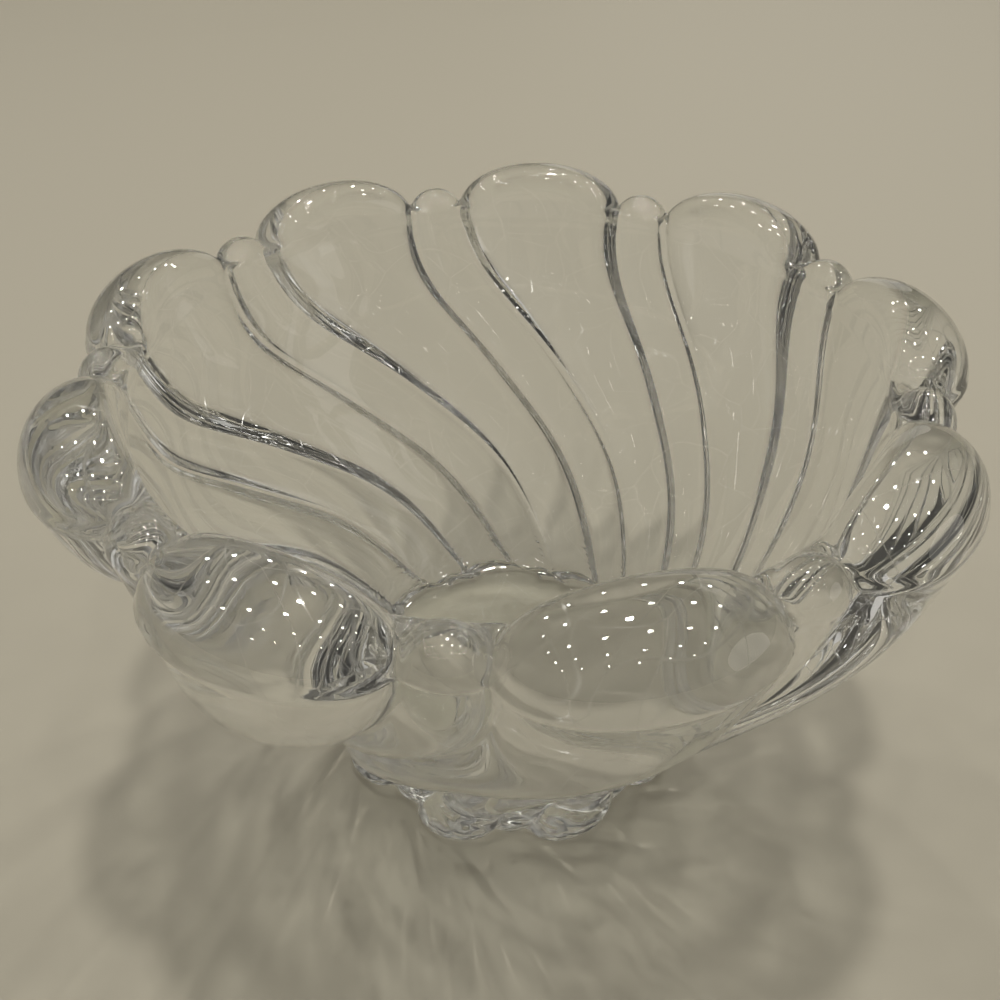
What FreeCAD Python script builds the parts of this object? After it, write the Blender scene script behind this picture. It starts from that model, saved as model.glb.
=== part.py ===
import FreeCAD, Part
import math
import os

# Floating candle bowl, one thick piece of clear pressed glass.
# Millimetres, +Z up. The origin is on the resting plane, on the axis of the bowl.
# Nine wide petals and nine narrow ribs stand side by side around the wall. They turn
# clockwise, seen from above, on their way from the rim to the foot, and each one ends
# in a dome at the rim.

doc = FreeCAD.newDocument("candle_bowl")
sheet = doc.addObject("Spreadsheet::Sheet", "sizes")

SIZES = {
    "petal_count": 9,
    # heights above the resting plane
    "flare_height": 3.5,
    "neck_height": 9.0,
    "floor_height": 14.8,
    "rim_height": 103.0,
    # inside of the bowl, smooth as the plunger leaves it
    "rim_radius": 75.0,
    "wall_foot_radius": 33.6,
    "floor_radius": 31.4,
    "floor_corner_rise": 1.6,
    # rounded inner edge of the petals
    "lip_width": 8.0,
    "lip_height": 8.0,
    # saddle between a petal and a rib
    "saddle_rise": 1.5,
    # glass behind the grooves, measured level
    "rim_wall": 8.2,
    "high_wall": 7.6,
    "middle_wall": 6.4,
    "low_wall": 6.4,
    "floor_wall": 6.2,
    # groove radius on the foot
    "neck_radius": 36.8,
    "flare_radius": 38.4,
    "base_radius": 37.8,
    # how far the petals stand out from the grooves
    "rim_swell": 10.6,
    "high_swell": 9.4,
    "middle_swell": 7.6,
    "low_swell": 6.8,
    "floor_swell": 5.6,
    "neck_swell": 5.0,
    "flare_swell": 6.0,
    "base_swell": 5.8,
    # how far the ribs stand out from the grooves
    "rim_rib_swell": 3.4,
    "high_rib_swell": 3.6,
    "middle_rib_swell": 3.6,
    "low_rib_swell": 3.4,
    "floor_rib_swell": 3.0,
    "neck_rib_swell": 2.0,
    "flare_rib_swell": 1.8,
    "base_rib_swell": 1.6,
    # how far behind the grooves the middle of a rib lies
    "rib_root": 2.4,
    # neighbouring petals and ribs run this far into each other
    "groove_lap": 0.8,
    # domes that end the petals and the ribs
    "petal_arch": 12.4,
    "rib_arch": 6.6,
    # hollow under the foot, which leaves a ring to stand on
    "underside_radius": 29.0,
    "underside_edge": 2.0,
    "underside_depth": 2.2,
    # a cut runs this far past the glass
    "overrun": 3.0,
    # half the angle of one rib, in degrees
    "rim_rib_angle": 4.8,
    "high_rib_angle": 6.6,
    "middle_rib_angle": 8.4,
    "low_rib_angle": 9.6,
    "floor_rib_angle": 9.5,
    "neck_rib_angle": 8.0,
    "flare_rib_angle": 7.0,
    "base_rib_angle": 7.0,
    # how far petals and ribs have turned on the way down, in degrees
    "rim_turn": 0.0,
    "high_turn": 5.2,
    "middle_turn": 22.0,
    "low_turn": 43.5,
    "floor_turn": 61.0,
    "neck_turn": 65.5,
    "flare_turn": 71.0,
    "base_turn": 74.0,
    # levels of the wall, as shares of the height from the floor to the rim
    "high_level_share": 0.75,
    "middle_level_share": 0.5,
    "low_level_share": 0.25,
    # inner radius there, as shares of the way from the wall's foot to the rim
    "high_reach_share": 0.868,
    "middle_reach_share": 0.568,
    "low_reach_share": 0.258,
}

for row, (alias, value) in enumerate(SIZES.items(), start=1):
    sheet.set(f"A{row}", alias)
    sheet.set(f"B{row}", str(value))
    sheet.setAlias(f"B{row}", alias)
doc.recompute()


def cell(alias):
    return f"sizes.{alias}"


# Levels from the resting plane to the rim, and the sections laid between them
FOOT_LEVELS = ["base", "flare", "neck"]
WALL_LEVELS = ["floor", "low", "middle", "high", "rim"]
LEVELS = FOOT_LEVELS + WALL_LEVELS
FOOT_STEPS = 1
WALL_STEPS = 4


def level_height(level):
    if level == "base":
        return "0"
    if level in ("low", "middle", "high"):
        span = f"({cell('rim_height')} - {cell('floor_height')})"
        return f"({cell('floor_height')} + {span} * {cell(level + '_level_share')})"
    return cell(f"{level}_height")


def inner_radius(level):
    if level == "rim":
        return cell("rim_radius")
    if level == "floor":
        return cell("wall_foot_radius")
    reach = f"({cell('rim_radius')} - {cell('wall_foot_radius')})"
    return f"({cell('wall_foot_radius')} + {reach} * {cell(level + '_reach_share')})"


def groove_radius(level):
    if level in FOOT_LEVELS:
        return cell(f"{level}_radius")
    return f"({inner_radius(level)} + {cell(level + '_wall')})"


def stations(levels):
    """Each station is a list of (level, weight): a smooth curve through the levels."""
    found = []
    for index in range(len(levels) - 1):
        steps = FOOT_STEPS if levels[index] in FOOT_LEVELS else WALL_STEPS
        for step in range(steps):
            t = step / steps
            before = -t / 2 + t**2 - t**3 / 2
            here = 1 - 5 * t**2 / 2 + 3 * t**3 / 2
            ahead = t / 2 + 2 * t**2 - 3 * t**3 / 2
            beyond = -(t**2) / 2 + t**3 / 2
            if index == 0:
                here += 2 * before
                ahead -= before
                before = 0
            if index == len(levels) - 2:
                ahead += 2 * beyond
                here -= beyond
                beyond = 0
            weights = zip(range(index - 1, index + 3), (before, here, ahead, beyond))
            found.append([(levels[at], weight) for at, weight in weights if abs(weight) > 0])
    found.append([(levels[-1], 1)])
    return found


def blend(station, size_at):
    return "(" + " + ".join(f"{weight:.6f} * {size_at(level)}" for level, weight in station) + ")"


def ring(name, radius, height):
    circle = doc.addObject("Part::Circle", name)
    circle.setExpression("Radius", radius)
    circle.setExpression("Placement.Base.z", height)
    return circle


def loft(name, sections):
    solid = doc.addObject("Part::Loft", name)
    solid.Sections = sections
    solid.Solid = True
    return solid


# Wall behind the grooves, with the saddles between petals and ribs on its top
wall_rings = []
for number, station in enumerate(stations(LEVELS)):
    height = blend(station, level_height)
    wall_rings.append(ring(f"wall_{number}", blend(station, groove_radius), height))
wall = loft("wall", wall_rings)

saddle = doc.addObject("Part::Cone", "saddle")
saddle.setExpression("Radius1", groove_radius("rim"))
saddle.setExpression("Radius2", f"{groove_radius('rim')} - {cell('saddle_rise')}")
saddle.setExpression("Height", cell("saddle_rise"))
saddle.setExpression("Placement.Base.z", cell("rim_height"))


# Petals and ribs: a loft of upright ellipses from the foot to the tip of the dome
DOME_STEPS = 5
DOME_TIP_ANGLE = 85
half_pitch = f"180 / {cell('petal_count')}"


def lobe_section(name, station, half_angle, swell, root, shrink, height):
    """An ellipse across one petal or rib, its middle on the wall behind the grooves."""
    radius = blend(station, groove_radius)
    angle = blend(station, half_angle)
    turn = blend(station, lambda level: cell(f"{level}_turn"))
    centre = f"(({radius} - {root}) * cos({angle}))"
    ellipse = doc.addObject("Part::Ellipse", name)
    wide = f"({radius} * sin({angle}) + {cell('groove_lap')})"
    deep = f"({radius} + {blend(station, swell)} - {centre})"
    ellipse.setExpression("MajorRadius", f"{wide} * {shrink:.6f}")
    ellipse.setExpression("MinorRadius", f"{deep} * {shrink:.6f}")
    ellipse.setExpression("Placement.Base.x", f"{centre} * cos({turn})")
    ellipse.setExpression("Placement.Base.y", f"-1 * {centre} * sin({turn})")
    ellipse.setExpression("Placement.Base.z", height)
    ellipse.Placement.Rotation = FreeCAD.Rotation(FreeCAD.Vector(0, 0, 1), 90)
    ellipse.setExpression("Placement.Rotation.Angle", f"90 - {turn}")
    return ellipse


def lobe(name, half_angle, swell, root, arch):
    sections = []
    for number, station in enumerate(stations(LEVELS)):
        height = blend(station, level_height)
        section_name = f"{name}_{number}"
        sections.append(lobe_section(section_name, station, half_angle, swell, root, 1, height))
    rim = [("rim", 1)]
    for step in range(1, DOME_STEPS + 1):
        climb = math.radians(DOME_TIP_ANGLE * step / DOME_STEPS)
        height = f"{cell('rim_height')} + {cell(arch)} * {math.sin(climb):.6f}"
        section_name = f"{name}_dome_{step}"
        shrink = math.cos(climb)
        sections.append(lobe_section(section_name, rim, half_angle, swell, root, shrink, height))
    return loft(name, sections)


def petal_half_angle(level):
    return f"({half_pitch} - {cell(level + '_rib_angle')})"


def rib_half_angle(level):
    return cell(f"{level}_rib_angle")


petal = lobe("petal", petal_half_angle, lambda level: cell(f"{level}_swell"), "0", "petal_arch")
rib = lobe(
    "rib", rib_half_angle, lambda level: cell(f"{level}_rib_swell"), cell("rib_root"), "rib_arch"
)


def around(source, first_angle):
    """Places the petal or the rib all the way around the axis."""
    copies = []
    for index in range(int(sheet.get("petal_count"))):
        link = doc.addObject("App::Link", f"{source.Name}_{index + 1}")
        link.LinkedObject = source
        link.Placement.Rotation = FreeCAD.Rotation(FreeCAD.Vector(0, 0, 1), 1)
        angle = f"360 * {index} / {cell('petal_count')} + {first_angle}"
        link.setExpression("Placement.Rotation.Angle", angle)
        copies.append(link)
    return copies


petals = around(petal, "0")
ribs = around(rib, half_pitch)

outside = doc.addObject("Part::MultiFuse", "outside")
outside.Shapes = [wall, saddle] + petals + ribs


# Plunger that forms the inside, flared at the top to round the lip of the petals
def plunger_height(level):
    if level == "floor":
        return f"({cell('floor_height')} + {cell('floor_corner_rise')})"
    return level_height(level)


floor_corner = doc.addObject("Part::Cone", "floor_corner")
floor_corner.setExpression("Radius1", cell("floor_radius"))
floor_corner.setExpression("Radius2", cell("wall_foot_radius"))
floor_corner.setExpression("Height", cell("floor_corner_rise"))
floor_corner.setExpression("Placement.Base.z", cell("floor_height"))

plunger_rings = []
for number, station in enumerate(stations(WALL_LEVELS)):
    height = blend(station, plunger_height)
    plunger_rings.append(ring(f"plunger_{number}", blend(station, inner_radius), height))
plunger_wall = loft("plunger_wall", plunger_rings)

petal_top = f"({cell('rim_height')} + {cell('petal_arch')})"
lip_start = f"({petal_top} - {cell('lip_height')})"
rim_throat = doc.addObject("Part::Cylinder", "rim_throat")
rim_throat.setExpression("Radius", cell("rim_radius"))
rim_throat.setExpression("Height", f"{lip_start} - {cell('rim_height')}")
rim_throat.setExpression("Placement.Base.z", cell("rim_height"))

LIP_STEPS = 5
LIP_END_ANGLE = 60
lip_rings = []
for step in range(LIP_STEPS + 1):
    bend = math.radians(LIP_END_ANGLE * step / LIP_STEPS)
    radius = f"{cell('rim_radius')} + {cell('lip_width')} * {1 - math.cos(bend):.6f}"
    height = f"{lip_start} + {cell('lip_height')} * {math.sin(bend):.6f}"
    lip_rings.append(ring(f"lip_{step}", radius, height))
lip = loft("lip", lip_rings)

lip_clearance = doc.addObject("Part::Cone", "lip_clearance")
lip_clearance.setExpression("Radius1", radius)
lip_clearance.setExpression("Radius2", f"{radius} + {cell('overrun')}")
lip_clearance.setExpression("Height", cell("overrun"))
lip_clearance.setExpression("Placement.Base.z", height)

plunger = doc.addObject("Part::MultiFuse", "plunger")
plunger.Shapes = [floor_corner, plunger_wall, rim_throat, lip, lip_clearance]


# Shallow hollow under the foot
underside = doc.addObject("Part::Cone", "underside")
edge_slope = f"{cell('underside_edge')} / {cell('underside_depth')}"
wide_end = f"{cell('underside_radius')} + {edge_slope} * {cell('overrun')}"
underside.setExpression("Radius1", wide_end)
underside.setExpression("Radius2", f"{cell('underside_radius')} - {cell('underside_edge')}")
underside.setExpression("Height", f"{cell('underside_depth')} + {cell('overrun')}")
underside.setExpression("Placement.Base.z", f"-1 * {cell('overrun')}")


# The bowl
hollowed = doc.addObject("Part::Cut", "hollowed")
hollowed.Base = outside
hollowed.Tool = plunger
bowl = doc.addObject("Part::Cut", "bowl")
bowl.Base = hollowed
bowl.Tool = underside
bowl.Label = "glass_bowl"
doc.recompute()


# Every object and the finished shape are sound before anything is written
for item in doc.Objects:
    if "Invalid" in item.State or "Error" in item.State:
        raise RuntimeError(f"{item.Name} failed: {item.State}")

PARTS = [bowl]
os.makedirs("parts", exist_ok=True)
for part in PARTS:
    shape = part.Shape
    if shape.isNull() or not shape.isValid():
        raise RuntimeError(f"{part.Label} has no sound shape")
    if len(shape.Solids) != 1:
        raise RuntimeError(f"{part.Label} is {len(shape.Solids)} solids, not one")
for part in PARTS:
    part.Shape.exportStep(f"parts/{part.Label}.step")
    volume = part.Shape.Volume
    print(f"{part.Label}: {len(part.Shape.Faces)} faces, {volume:.0f} cubic millimetres")
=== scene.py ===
import bpy
import math
import numpy as np
from mathutils import Matrix, Vector


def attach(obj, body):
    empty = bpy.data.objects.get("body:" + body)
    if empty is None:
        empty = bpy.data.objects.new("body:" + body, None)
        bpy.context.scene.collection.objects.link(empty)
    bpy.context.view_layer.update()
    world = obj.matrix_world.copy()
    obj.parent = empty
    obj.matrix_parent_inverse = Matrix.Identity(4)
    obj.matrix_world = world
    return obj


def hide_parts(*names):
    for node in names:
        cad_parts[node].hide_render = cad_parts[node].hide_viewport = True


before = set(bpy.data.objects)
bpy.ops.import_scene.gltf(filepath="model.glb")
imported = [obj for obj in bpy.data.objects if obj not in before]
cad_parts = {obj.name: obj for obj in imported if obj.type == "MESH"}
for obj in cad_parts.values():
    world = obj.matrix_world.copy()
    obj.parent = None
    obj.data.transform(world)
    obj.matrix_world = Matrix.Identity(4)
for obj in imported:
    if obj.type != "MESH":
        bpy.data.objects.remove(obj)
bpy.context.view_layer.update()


# The bowl
# One thick piece of clear soda-lime glass, pressed hot between a mould and a smooth plunger
# and fire-polished afterwards, so its edges are soft and its walls a little wavy. Nine wide
# petals and nine slim ribs stand side by side and swirl down to a scalloped foot.
PETALS = 9
HALF_SECTOR = math.pi / PETALS

# Levels from the resting plane to the rim: height, then the radius behind the grooves
LEVEL_HEIGHT = [0.0, 0.0035, 0.0090, 0.0148, 0.03685, 0.0589, 0.08095, 0.1030]
GROOVE_RADIUS = [0.0378, 0.0384, 0.0368, 0.0398, 0.0507, 0.0635, 0.0771, 0.0832]
# How far petals and ribs stand out from the grooves, and half the angle of one rib
PETAL_SWELL = [0.0058, 0.0060, 0.0050, 0.0056, 0.0068, 0.0076, 0.0094, 0.01055]
RIB_SWELL = [0.0016, 0.0018, 0.0020, 0.0030, 0.0034, 0.0036, 0.0036, 0.0034]
RIB_ANGLE = [math.radians(a) for a in (7.0, 7.0, 8.0, 9.5, 9.6, 8.4, 6.6, 4.8)]
# How far they have turned, clockwise from above, and the smooth inside of the bowl
TURN = [math.radians(a) for a in (74.0, 71.0, 65.5, 61.0, 43.5, 22.0, 5.2, 0.0)]
FLOOR_LEVEL, RIM_LEVEL = 3, 7
INNER_RADIUS = [0.0336, 0.0443, 0.0571, 0.0695, 0.0750]

RIB_ROOT = 0.0024
# Petals and ribs lap over each other in the groove up to the rim, and part just above it
GROOVE_LAP = 0.0008
LAP_END = 0.0015
GROOVE_SOFTNESS = 0.0016
PETAL_ARCH = 0.0123
RIB_ARCH = 0.0066
# Between petals and ribs the rim slopes down outwards, from the lip to the groove
SADDLE_RISE = -0.0010
SADDLE_SLOPE = 0.75
SADDLE_SOFTNESS = 0.0040
LIP_SOFTNESS = 0.0045
# The middle of the glass at the rim: everything above it is laid out around this point
CROWN_RADIUS, CROWN_HEIGHT = 0.0800, 0.0990


def along(values, level, end_slope=None):
    """A smooth curve through one value per level, read at levels between them."""
    values = np.asarray(values, float)
    slopes = np.gradient(values)
    if end_slope is not None:
        slopes[-1] = end_slope
    at = np.clip(np.floor(level).astype(int), 0, len(values) - 2)
    t = level - at
    low, high = values[at], values[at + 1]
    rise, fall = slopes[at], slopes[at + 1]
    return (
        low * (2 * t**3 - 3 * t**2 + 1)
        + rise * (t**3 - 2 * t**2 + t)
        + high * (3 * t**2 - 2 * t**3)
        + fall * (t**3 - t**2)
    )


FINE_LEVELS = np.linspace(0, RIM_LEVEL, 2000)
FINE_HEIGHTS = along(LEVEL_HEIGHT, FINE_LEVELS)


def level_at(height):
    return np.interp(height, FINE_HEIGHTS, FINE_LEVELS)


def inner_radius(level):
    return along(INNER_RADIUS, np.maximum(level - FLOOR_LEVEL, 0))


def turned(level):
    return along(TURN, level, end_slope=0)


def soft_union(a, b, softness):
    near = np.maximum(softness - np.abs(a - b), 0) / softness
    return np.minimum(a, b) - near**2 * softness / 4


def soft_cut(a, b, softness):
    return -soft_union(-a, -b, softness)


def lobe(radius, angle, level, above_rim, half_angle, swell, root, arch):
    """Distance to one petal or rib: an upright ellipse that closes in a dome at the rim."""
    groove = along(GROOVE_RADIUS, level)
    centre = (groove - root) * np.cos(half_angle)
    deep = groove + swell - centre
    lap = GROOVE_LAP * np.maximum(1 - above_rim / LAP_END, 0)
    wide = groove * np.sin(half_angle) + lap
    x = radius * np.cos(angle) - centre
    y = radius * np.sin(angle)
    near = np.sqrt((x / deep) ** 2 + (y / wide) ** 2 + (above_rim / arch) ** 2)
    steep = np.sqrt((x / deep**2) ** 2 + (y / wide**2) ** 2 + (above_rim / arch**2) ** 2)
    return near * (near - 1) / np.maximum(steep, 1e-6)


def outside(radius, angle, height):
    """Distance to the outside of the bowl, less than zero in the glass or the hollow."""
    level = level_at(height)
    above_rim = np.maximum(height - LEVEL_HEIGHT[RIM_LEVEL], 0)
    rib_angle = along(RIB_ANGLE, level)
    petal_angle = HALF_SECTOR - rib_angle
    petal_swell = along(PETAL_SWELL, level)
    petal = lobe(radius, angle, level, above_rim, petal_angle, petal_swell, 0, PETAL_ARCH)
    rib_swell = along(RIB_SWELL, level)
    from_rib = HALF_SECTOR - np.abs(angle)
    rib = lobe(radius, from_rib, level, above_rim, rib_angle, rib_swell, RIB_ROOT, RIB_ARCH)
    from_groove = along(GROOVE_RADIUS, level) - radius
    saddle = height - LEVEL_HEIGHT[RIM_LEVEL] - SADDLE_RISE - SADDLE_SLOPE * from_groove
    wall = soft_cut(-from_groove, saddle, SADDLE_SOFTNESS)
    return soft_union(soft_union(petal, rib, GROOVE_SOFTNESS), wall, GROOVE_SOFTNESS)


def glass(radius, angle, height):
    hollow = inner_radius(level_at(height)) - radius
    return soft_cut(outside(radius, angle, height), hollow, LIP_SOFTNESS)


HALVINGS = 40


def surface(distance, near, far):
    """Halves the span from near, in the glass, to far, outside it, until both meet."""
    for _ in range(HALVINGS):
        middle = (near + far) / 2
        within = distance(middle) < 0
        near = np.where(within, middle, near)
        far = np.where(within, far, middle)
    return (near + far) / 2


# Columns of the mesh run from rib to rib across one petal, closer together at the grooves
PETAL_COLUMNS, RIB_COLUMNS = 20, 10
COLUMN_CROWDING = 1.5
petal_share = 1 - (1 - np.arange(PETAL_COLUMNS) / PETAL_COLUMNS) ** COLUMN_CROWDING
rib_share = 1 + (np.arange(RIB_COLUMNS + 1) / RIB_COLUMNS) ** COLUMN_CROWDING
half_columns = np.concatenate([petal_share, rib_share])
COLUMNS = np.concatenate([-half_columns[:0:-1], half_columns])


def column_angles(level):
    rib_angle = along(RIB_ANGLE, np.asarray(level, float))
    petal_part = np.minimum(np.abs(COLUMNS), 1) * (HALF_SECTOR - rib_angle)
    rib_part = np.maximum(np.abs(COLUMNS) - 1, 0) * rib_angle
    return np.sign(COLUMNS) * (petal_part + rib_part)


rim_angles = column_angles(RIM_LEVEL)
rows = []


def add_row(radius, height, angles=rim_angles, turn=0.0):
    shape = np.ones(len(COLUMNS))
    rows.append(np.stack([radius * shape, angles * shape, height * shape, turn * shape]))


# Floor of the bowl, its rounded corner and the smooth wall that the plunger left
FLOOR_HEIGHT = 0.0148
FLOOR_RADIUS = 0.0300
FLOOR_DISH = 0.0004
MIDDLE_SHARE, FLOOR_ROWS = 0.08, 9
for share in np.linspace(MIDDLE_SHARE, 1, FLOOR_ROWS):
    add_row(FLOOR_RADIUS * share, FLOOR_HEIGHT + FLOOR_DISH * share**2)
CORNER_START, CORNER_STEPS = 3.24, 8
corner_radius = inner_radius(CORNER_START)
corner_height = float(along(LEVEL_HEIGHT, np.float64(CORNER_START)))
for step in range(1, CORNER_STEPS):
    t = step / CORNER_STEPS
    reach = (1 - t) ** 2 * FLOOR_RADIUS + 2 * t * (1 - t) * INNER_RADIUS[0] + t**2 * corner_radius
    climb = (1 - t**2) * (FLOOR_HEIGHT + FLOOR_DISH) + t**2 * corner_height
    add_row(reach, climb)
crown_level = float(level_at(CROWN_HEIGHT))
INSIDE_ROWS = 26
for level in np.linspace(CORNER_START, crown_level, INSIDE_ROWS)[:-1]:
    add_row(inner_radius(level), float(along(LEVEL_HEIGHT, level)))

# Lips, domes and saddles, in a fan around the middle of the glass. Their outer side swirls
# with the wall, and the smooth inside has nothing that could
FAN_STEPS = 52
FAN_REACH = 0.030
for step in range(FAN_STEPS + 1):
    bend = math.pi * (1 - step / FAN_STEPS)
    out, up = math.cos(bend), math.sin(bend)
    reach = surface(
        lambda r: glass(CROWN_RADIUS + r * out, rim_angles, CROWN_HEIGHT + r * up),
        np.zeros(len(COLUMNS)),
        np.full(len(COLUMNS), FAN_REACH),
    )
    radius = CROWN_RADIUS + reach * out
    height = CROWN_HEIGHT + reach * up
    add_row(radius, height, turn=turned(level_at(height)) * max(out, 0) ** 0.5)

# Outer wall, down to the foot
EDGE_LEVEL, OUTSIDE_ROWS = 0.25, 70
SEARCH_DEPTH = 0.006
for level in np.linspace(crown_level, EDGE_LEVEL, OUTSIDE_ROWS)[1:]:
    angles = column_angles(level)
    height = float(along(LEVEL_HEIGHT, level))
    start = np.full(len(COLUMNS), float(along(GROOVE_RADIUS, level)) - SEARCH_DEPTH)
    radius = surface(lambda r: outside(r, angles, height), start, start + FAN_REACH)
    add_row(radius, height, angles, float(turned(level)))

# Rounded edge of the foot, the ring that it rests on and the shallow hollow under it
edge_radius, edge_height = radius, height
EDGE_ROUNDING = 0.0012
base_turn = float(turned(0.0))
for bend in np.radians([30, 60, 90]):
    inwards = EDGE_ROUNDING * (1 - math.cos(bend))
    sunk = edge_height * (1 - math.sin(bend))
    add_row(edge_radius - inwards, sunk, angles, base_turn)
RING_RADIUS, RING_MARGIN, HOLLOW_DEPTH = 0.0300, 0.0020, 0.0022
HOLLOW_SHARES = (1.0, 0.97, 0.94, 0.88, 0.8, 0.7, 0.6, 0.5, 0.4, 0.3, 0.2, MIDDLE_SHARE)
add_row(RING_RADIUS + RING_MARGIN, 0.0, angles, base_turn)
for share in HOLLOW_SHARES:
    add_row(RING_RADIUS * share, HOLLOW_DEPTH * (1 - share**2), angles, base_turn)


def sector_mesh(rows):
    """One petal with half a rib on each side, from the middle of the floor to that of the foot."""
    grid = np.stack(rows)
    across = grid.shape[2]
    radius, angle, height, turn = (grid[:, i].ravel() for i in range(4))
    points = np.stack([radius * np.cos(angle), radius * np.sin(angle), height], axis=1)
    poles = [[0, 0, FLOOR_HEIGHT], [0, 0, HOLLOW_DEPTH]]
    points = np.concatenate([points, poles])
    turn = np.concatenate([turn, [0, base_turn]])
    top_pole, under_pole = len(points) - 2, len(points) - 1
    faces = []
    for row in range(len(grid) - 1):
        for column in range(across - 1):
            first = row * across + column
            faces.append((first, first + across, first + across + 1, first + 1))
    last = (len(grid) - 1) * across
    for column in range(across - 1):
        faces.append((column, column + 1, top_pole))
        faces.append((last + column + 1, last + column, under_pole))
    mesh = bpy.data.meshes.new("petal_sector")
    mesh.from_pydata(points.tolist(), [], faces)
    attribute = mesh.attributes.new("turn", "FLOAT", "POINT")
    attribute.data.foreach_set("value", turn.astype(np.float32))
    return mesh


def bowl_tree(glass_material):
    """Sets the sector around the axis and swirls every point by its own turn."""
    tree = bpy.data.node_groups.new("swirled_petals", "GeometryNodeTree")
    face = tree.interface
    face.new_socket("Geometry", in_out="INPUT", socket_type="NodeSocketGeometry")
    for name, kind, value in (
        ("Petals", "NodeSocketInt", PETALS),
        ("Swirl", "NodeSocketFloat", 1.0),
        ("Weld distance", "NodeSocketFloat", 1e-5),
    ):
        face.new_socket(name, in_out="INPUT", socket_type=kind).default_value = value
    face.new_socket("Geometry", in_out="OUTPUT", socket_type="NodeSocketGeometry")
    new, link = tree.nodes.new, tree.links.new
    given, made = new("NodeGroupInput"), new("NodeGroupOutput")

    axis = new("GeometryNodeMeshLine")
    axis.mode = "OFFSET"
    axis.inputs["Offset"].default_value = (0, 0, 0)
    link(given.outputs["Petals"], axis.inputs["Count"])
    index = new("GeometryNodeInputIndex")
    pitch = new("ShaderNodeMath")
    pitch.operation = "DIVIDE"
    pitch.inputs[0].default_value = math.tau
    link(given.outputs["Petals"], pitch.inputs[1])
    azimuth = new("ShaderNodeMath")
    azimuth.operation = "MULTIPLY"
    link(index.outputs["Index"], azimuth.inputs[0])
    link(pitch.outputs[0], azimuth.inputs[1])
    heading = new("ShaderNodeCombineXYZ")
    link(azimuth.outputs[0], heading.inputs["Z"])
    spin = new("FunctionNodeEulerToRotation")
    link(heading.outputs[0], spin.inputs[0])
    around = new("GeometryNodeInstanceOnPoints")
    link(axis.outputs["Mesh"], around.inputs["Points"])
    link(given.outputs["Geometry"], around.inputs["Instance"])
    link(spin.outputs[0], around.inputs["Rotation"])
    real = new("GeometryNodeRealizeInstances")
    link(around.outputs["Instances"], real.inputs["Geometry"])

    turn = new("GeometryNodeInputNamedAttribute")
    turn.data_type = "FLOAT"
    turn.inputs["Name"].default_value = "turn"
    clockwise = new("ShaderNodeMath")
    clockwise.operation = "MULTIPLY"
    link(turn.outputs["Attribute"], clockwise.inputs[0])
    link(given.outputs["Swirl"], clockwise.inputs[1])
    place = new("GeometryNodeInputPosition")
    swirled = new("ShaderNodeVectorRotate")
    swirled.rotation_type = "Z_AXIS"
    swirled.invert = True
    link(place.outputs[0], swirled.inputs["Vector"])
    link(clockwise.outputs[0], swirled.inputs["Angle"])
    swirl = new("GeometryNodeSetPosition")
    link(real.outputs["Geometry"], swirl.inputs["Geometry"])
    link(swirled.outputs["Vector"], swirl.inputs["Position"])

    weld = new("GeometryNodeMergeByDistance")
    link(swirl.outputs["Geometry"], weld.inputs["Geometry"])
    link(given.outputs["Weld distance"], weld.inputs["Distance"])
    smooth = new("GeometryNodeSetShadeSmooth")
    link(weld.outputs["Geometry"], smooth.inputs["Geometry"])
    finish = new("GeometryNodeSetMaterial")
    finish.inputs["Material"].default_value = glass_material
    link(smooth.outputs["Geometry"], finish.inputs["Geometry"])
    link(finish.outputs["Geometry"], made.inputs["Geometry"])
    return tree


GLASS_TINT = (0.985, 0.995, 0.99, 1)
GLASS_IOR = 1.52
# How a face is tilted to a lamp, and the share of that lamp's light that goes straight on
SQUARE_ON, SQUARE_PASS = 0.30, 1.0
GRAZING, GRAZING_PASS = 0.66, 0.05
# The pressed surface: how closely waves and ripples lie, per metre, and how high they stand
WAVE_SCALE, WAVE_HEIGHT = 45.0, 0.00012
RIPPLE_SCALE, RIPPLE_HEIGHT = (260.0, 260.0, 900.0), 0.00022
RIPPLE_TOP, RIPPLE_FADE = 0.0175, 0.0030
SCRATCH_SCALE, SCRATCH_SHARE, SCRATCH_ROUGHNESS = 55.0, 0.012, 0.25
SCRATCH_BEND = 0.03


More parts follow.
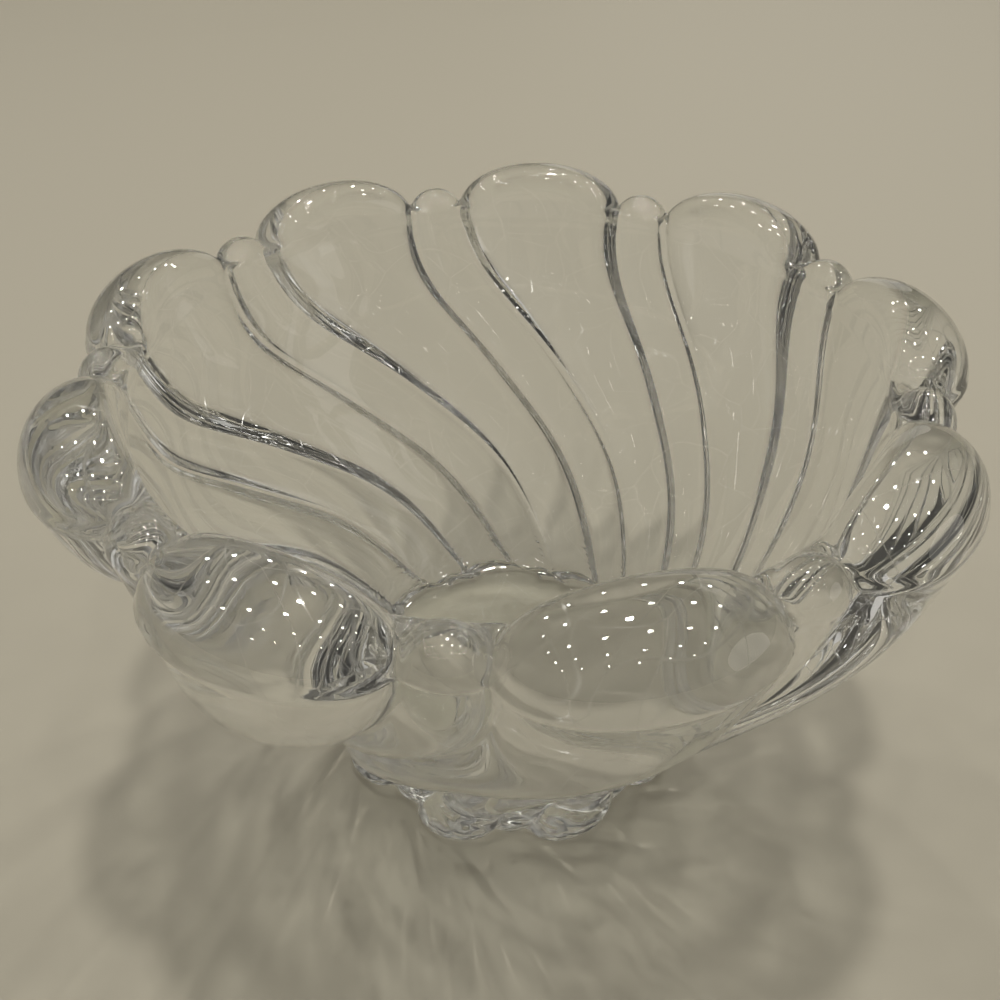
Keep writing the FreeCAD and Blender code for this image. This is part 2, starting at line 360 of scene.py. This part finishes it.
def clear_glass():
    material = bpy.data.materials.new("clear_glass")
    material.use_nodes = True
    nodes, link = material.node_tree.nodes, material.node_tree.links.new
    shader = nodes["Principled BSDF"]
    shader.inputs["Base Color"].default_value = GLASS_TINT
    shader.inputs["Transmission Weight"].default_value = 1.0
    shader.inputs["IOR"].default_value = GLASS_IOR

    # Waves that the mould leaves all over, and fine, flat ripples round the foot and floor,
    # where the glass cooled first
    place = nodes.new("ShaderNodeTexCoord")
    parts = nodes.new("ShaderNodeSeparateXYZ")
    link(place.outputs["Object"], parts.inputs[0])
    low_down = nodes.new("ShaderNodeMapRange")
    low_down.inputs["From Min"].default_value = RIPPLE_TOP
    low_down.inputs["From Max"].default_value = RIPPLE_TOP + RIPPLE_FADE
    low_down.inputs["To Min"].default_value = 1.0
    low_down.inputs["To Max"].default_value = 0.0
    link(parts.outputs["Z"], low_down.inputs["Value"])
    flat_place = nodes.new("ShaderNodeCombineXYZ")
    link(parts.outputs["X"], flat_place.inputs["X"])
    link(parts.outputs["Y"], flat_place.inputs["Y"])
    from_axis = nodes.new("ShaderNodeVectorMath")
    from_axis.operation = "LENGTH"
    link(flat_place.outputs[0], from_axis.inputs[0])
    off_disc = nodes.new("ShaderNodeMapRange")
    off_disc.inputs["From Min"].default_value = FLOOR_RADIUS - RIPPLE_FADE / 2
    off_disc.inputs["From Max"].default_value = FLOOR_RADIUS + RIPPLE_FADE / 2
    link(from_axis.outputs["Value"], off_disc.inputs["Value"])
    rippled = nodes.new("ShaderNodeMath")
    rippled.operation = "MULTIPLY"
    link(low_down.outputs["Result"], rippled.inputs[0])
    link(off_disc.outputs["Result"], rippled.inputs[1])
    waves = nodes.new("ShaderNodeTexNoise")
    waves.inputs["Scale"].default_value = WAVE_SCALE
    waves.inputs["Detail"].default_value = 1.0
    link(place.outputs["Object"], waves.inputs["Vector"])
    wavy = nodes.new("ShaderNodeBump")
    wavy.inputs["Distance"].default_value = WAVE_HEIGHT
    link(waves.outputs["Fac"], wavy.inputs["Height"])
    flattened = nodes.new("ShaderNodeVectorMath")
    flattened.operation = "MULTIPLY"
    flattened.inputs[1].default_value = RIPPLE_SCALE
    link(place.outputs["Object"], flattened.inputs[0])
    ripples = nodes.new("ShaderNodeTexNoise")
    ripples.inputs["Scale"].default_value = 1.0
    ripples.inputs["Detail"].default_value = 0.0
    link(flattened.outputs["Vector"], ripples.inputs["Vector"])
    rippling = nodes.new("ShaderNodeBump")
    rippling.inputs["Distance"].default_value = RIPPLE_HEIGHT
    link(rippled.outputs[0], rippling.inputs["Strength"])
    link(ripples.outputs["Fac"], rippling.inputs["Height"])
    link(wavy.outputs["Normal"], rippling.inputs["Normal"])
    link(rippling.outputs["Normal"], shader.inputs["Normal"])

    # A few hair-thin scratches from use, along stretched cell borders that noise bends
    bend = nodes.new("ShaderNodeTexNoise")
    bend.inputs["Scale"].default_value = SCRATCH_SCALE / 3
    link(place.outputs["Object"], bend.inputs["Vector"])
    bent = nodes.new("ShaderNodeVectorMath")
    bent.operation = "MULTIPLY_ADD"
    bent.inputs[1].default_value = (SCRATCH_BEND, SCRATCH_BEND, SCRATCH_BEND)
    link(bend.outputs["Color"], bent.inputs[0])
    link(place.outputs["Object"], bent.inputs[2])
    cells = nodes.new("ShaderNodeTexVoronoi")
    cells.feature = "DISTANCE_TO_EDGE"
    cells.inputs["Scale"].default_value = SCRATCH_SCALE
    link(bent.outputs["Vector"], cells.inputs["Vector"])
    scratch = nodes.new("ShaderNodeMapRange")
    scratch.inputs["From Min"].default_value = 0.0
    scratch.inputs["From Max"].default_value = SCRATCH_SHARE
    scratch.inputs["To Min"].default_value = SCRATCH_ROUGHNESS
    scratch.inputs["To Max"].default_value = 0.0
    link(cells.outputs["Distance"], scratch.inputs["Value"])
    link(scratch.outputs["Result"], shader.inputs["Roughness"])

    # Lamps shine straight through the faces that they meet squarely, so the shadow stays pale
    straight = nodes.new("ShaderNodeBsdfTransparent")
    straight.inputs["Color"].default_value = GLASS_TINT
    tilt = nodes.new("ShaderNodeLayerWeight")
    tilt.inputs["Blend"].default_value = 0.5
    passing = nodes.new("ShaderNodeMapRange")
    passing.inputs["From Min"].default_value = SQUARE_ON
    passing.inputs["From Max"].default_value = GRAZING
    passing.inputs["To Min"].default_value = SQUARE_PASS
    passing.inputs["To Max"].default_value = GRAZING_PASS
    link(tilt.outputs["Facing"], passing.inputs["Value"])
    path = nodes.new("ShaderNodeLightPath")
    share = nodes.new("ShaderNodeMath")
    share.operation = "MULTIPLY"
    link(passing.outputs["Result"], share.inputs[0])
    link(path.outputs["Is Shadow Ray"], share.inputs[1])
    mix = nodes.new("ShaderNodeMixShader")
    link(share.outputs[0], mix.inputs[0])
    link(shader.outputs[0], mix.inputs[1])
    link(straight.outputs[0], mix.inputs[2])
    link(mix.outputs[0], nodes["Material Output"].inputs["Surface"])
    return material


glass_material = clear_glass()
sector = bpy.data.objects.new("petal_sector", sector_mesh(rows))
bpy.context.scene.collection.objects.link(sector)
repeat = sector.modifiers.new("petals", "NODES")
repeat.node_group = bowl_tree(glass_material)
for item in repeat.node_group.interface.items_tree:
    if item.in_out == "INPUT" and item.name == "Petals":
        repeat[item.identifier] = PETALS
bpy.context.view_layer.update()
evaluated = sector.evaluated_get(bpy.context.evaluated_depsgraph_get())
bowl_mesh = bpy.data.meshes.new_from_object(evaluated)
bowl_mesh.name = "pressed_glass_bowl"
bpy.data.objects.remove(sector)
bowl = bpy.data.objects.new("pressed_glass_bowl", bowl_mesh)
bpy.context.scene.collection.objects.link(bowl)
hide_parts("glass_bowl")
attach(bowl, "root")


# Floor
# A plain, pale, slightly warm surface that runs far out of view on all sides. It lies a
# hair under the foot, so that the two faces never coincide.
FLOOR_REACH = 3.0
AIR_GAP = 0.0002
FLOOR_COLOR = (0.43, 0.40, 0.32, 1)
floor_mesh = bpy.data.meshes.new("floor")
corners = [
    (x * FLOOR_REACH, y * FLOOR_REACH, -AIR_GAP) for x, y in ((-1, -1), (1, -1), (1, 1), (-1, 1))
]
floor_mesh.from_pydata(corners, [], [(0, 1, 2, 3)])
floor = bpy.data.objects.new("floor", floor_mesh)
bpy.context.scene.collection.objects.link(floor)
floor_material = bpy.data.materials.new("pale_floor")
floor_material.use_nodes = True
floor_shader = floor_material.node_tree.nodes["Principled BSDF"]
floor_shader.inputs["Base Color"].default_value = FLOOR_COLOR
floor_shader.inputs["Roughness"].default_value = 0.6
floor_mesh.materials.append(floor_material)


# Light
# A dim room with five rows of small round downlights in its ceiling, from behind the viewer
# to beyond the bowl, and a larger lamp over it. They give the glass its sparkle, its dark
# groove lines and the bright streaks in its shadow. Two soft panels stand low beside it.
world = bpy.data.worlds.new("dim_room")
bpy.context.scene.world = world
world.use_nodes = True
room = world.node_tree.nodes["Background"]
room.inputs["Color"].default_value = (1.0, 0.97, 0.89, 1)
room.inputs["Strength"].default_value = 0.04
LAMP_COLOR = (1.0, 0.965, 0.90)


def round_lamp(name, place, size, radiance, caustics):
    """A round lamp that faces the bowl and looks equally bright from wherever it shows."""
    data = bpy.data.lights.new(name, "AREA")
    data.shape = "DISK"
    data.size = size
    data.color = LAMP_COLOR
    data.energy = radiance * math.pi * math.pi * size**2 / 4
    data.cycles.is_caustics_light = caustics
    item = bpy.data.objects.new(name, data)
    item.location = place
    item.rotation_euler = Vector(place).to_track_quat("Z", "Y").to_euler()
    bpy.context.scene.collection.objects.link(item)


CEILING_HEIGHT = 1.8
# Each row: its name, how far beyond the bowl it hangs, the lamps' size and their radiance
LAMP_ROWS = [
    ("rear", -1.75, 0.06, 55.0),
    ("near", -1.10, 0.06, 75.0),
    ("top", -0.40, 0.09, 60.0),
    ("over", 0.60, 0.09, 50.0),
    ("far", 1.90, 0.08, 330.0),
]
LAMP_COLUMNS = [-1.65, -0.95, -0.25, 0.40, 1.05, 1.70]
for row, y, size, radiance in LAMP_ROWS:
    for number, x in enumerate(LAMP_COLUMNS, start=1):
        name = f"{row}_downlight_{number}"
        round_lamp(name, (x, y, CEILING_HEIGHT), size, radiance, True)
# Each other lamp: name, place, size, radiance, and whether the glass focuses its light
OTHER_LAMPS = [
    ("overhead_lamp", (0.10, 0.12, CEILING_HEIGHT), 0.12, 225.0, True),
    ("right_panel", (2.0, -0.7, 0.35), 1.3, 0.9, False),
    ("far_panel", (0.75, 2.0, 0.35), 1.1, 0.5, False),
]
for name, place, size, radiance, caustics in OTHER_LAMPS:
    round_lamp(name, place, size, radiance, caustics)
bowl.cycles.is_caustics_caster = True
floor.cycles.is_caustics_receiver = True


# Camera
# Held close above the near petals with a short lens, as the photograph was taken.
camera_data = bpy.data.cameras.new("camera")
camera_data.sensor_width = 36.0
camera_data.lens = 36.036
camera_data.shift_y = -0.08515
camera_data.clip_start = 0.01
camera = bpy.data.objects.new("camera", camera_data)
CAMERA_PLACE = Vector((-0.0112, -0.1760, 0.2104))
CAMERA_YAW, CAMERA_PITCH, CAMERA_ROLL = (math.radians(a) for a in (3.112, 34.311, -0.704))
turned_level = Matrix.Rotation(-CAMERA_YAW, 4, "Z")
tipped = Matrix.Rotation(math.pi / 2 - CAMERA_PITCH, 4, "X")
rolled = Matrix.Rotation(CAMERA_ROLL, 4, "Z")
camera.matrix_world = Matrix.Translation(CAMERA_PLACE) @ turned_level @ tipped @ rolled
bpy.context.scene.collection.objects.link(camera)
bpy.context.scene.camera = camera
bpy.context.scene.view_settings.view_transform = "Standard"

# Light goes back and forth many times inside glass as thick as this
BOUNCES = 32
cycles = bpy.context.scene.cycles
cycles.max_bounces = BOUNCES
cycles.glossy_bounces = BOUNCES
cycles.transmission_bounces = BOUNCES
